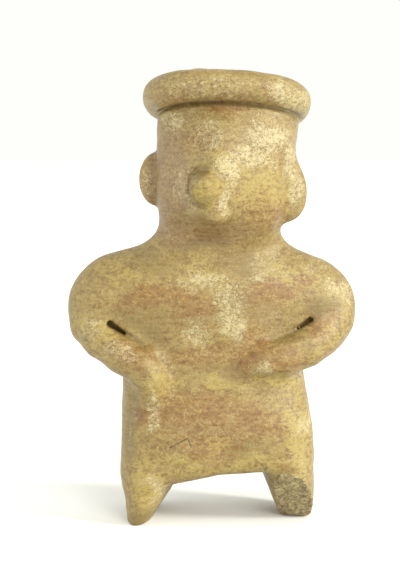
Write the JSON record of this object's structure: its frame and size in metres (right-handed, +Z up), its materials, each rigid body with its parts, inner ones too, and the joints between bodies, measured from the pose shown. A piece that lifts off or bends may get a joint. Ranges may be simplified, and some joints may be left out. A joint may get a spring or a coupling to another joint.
{
  "type": "pottery figure",
  "caption": "Standing hollow pottery figure with a coil headband, long nose, hands on its belly and one broken foot, for display.",
  "frame": {"origin": "on the ground, below the middle of the figure's bounding box", "axes": "+Z up, -Y the way the figure faces, +X the viewer's right, which is the figure's own left"},
  "size_m": [0.179, 0.0952, 0.278],
  "materials": {
    "fired_clay": "burnished slip, worn and mottled"
  },
  "bodies": {
    "root": {"pottery_figure": "fired_clay"}
  },
  "joints": []
}
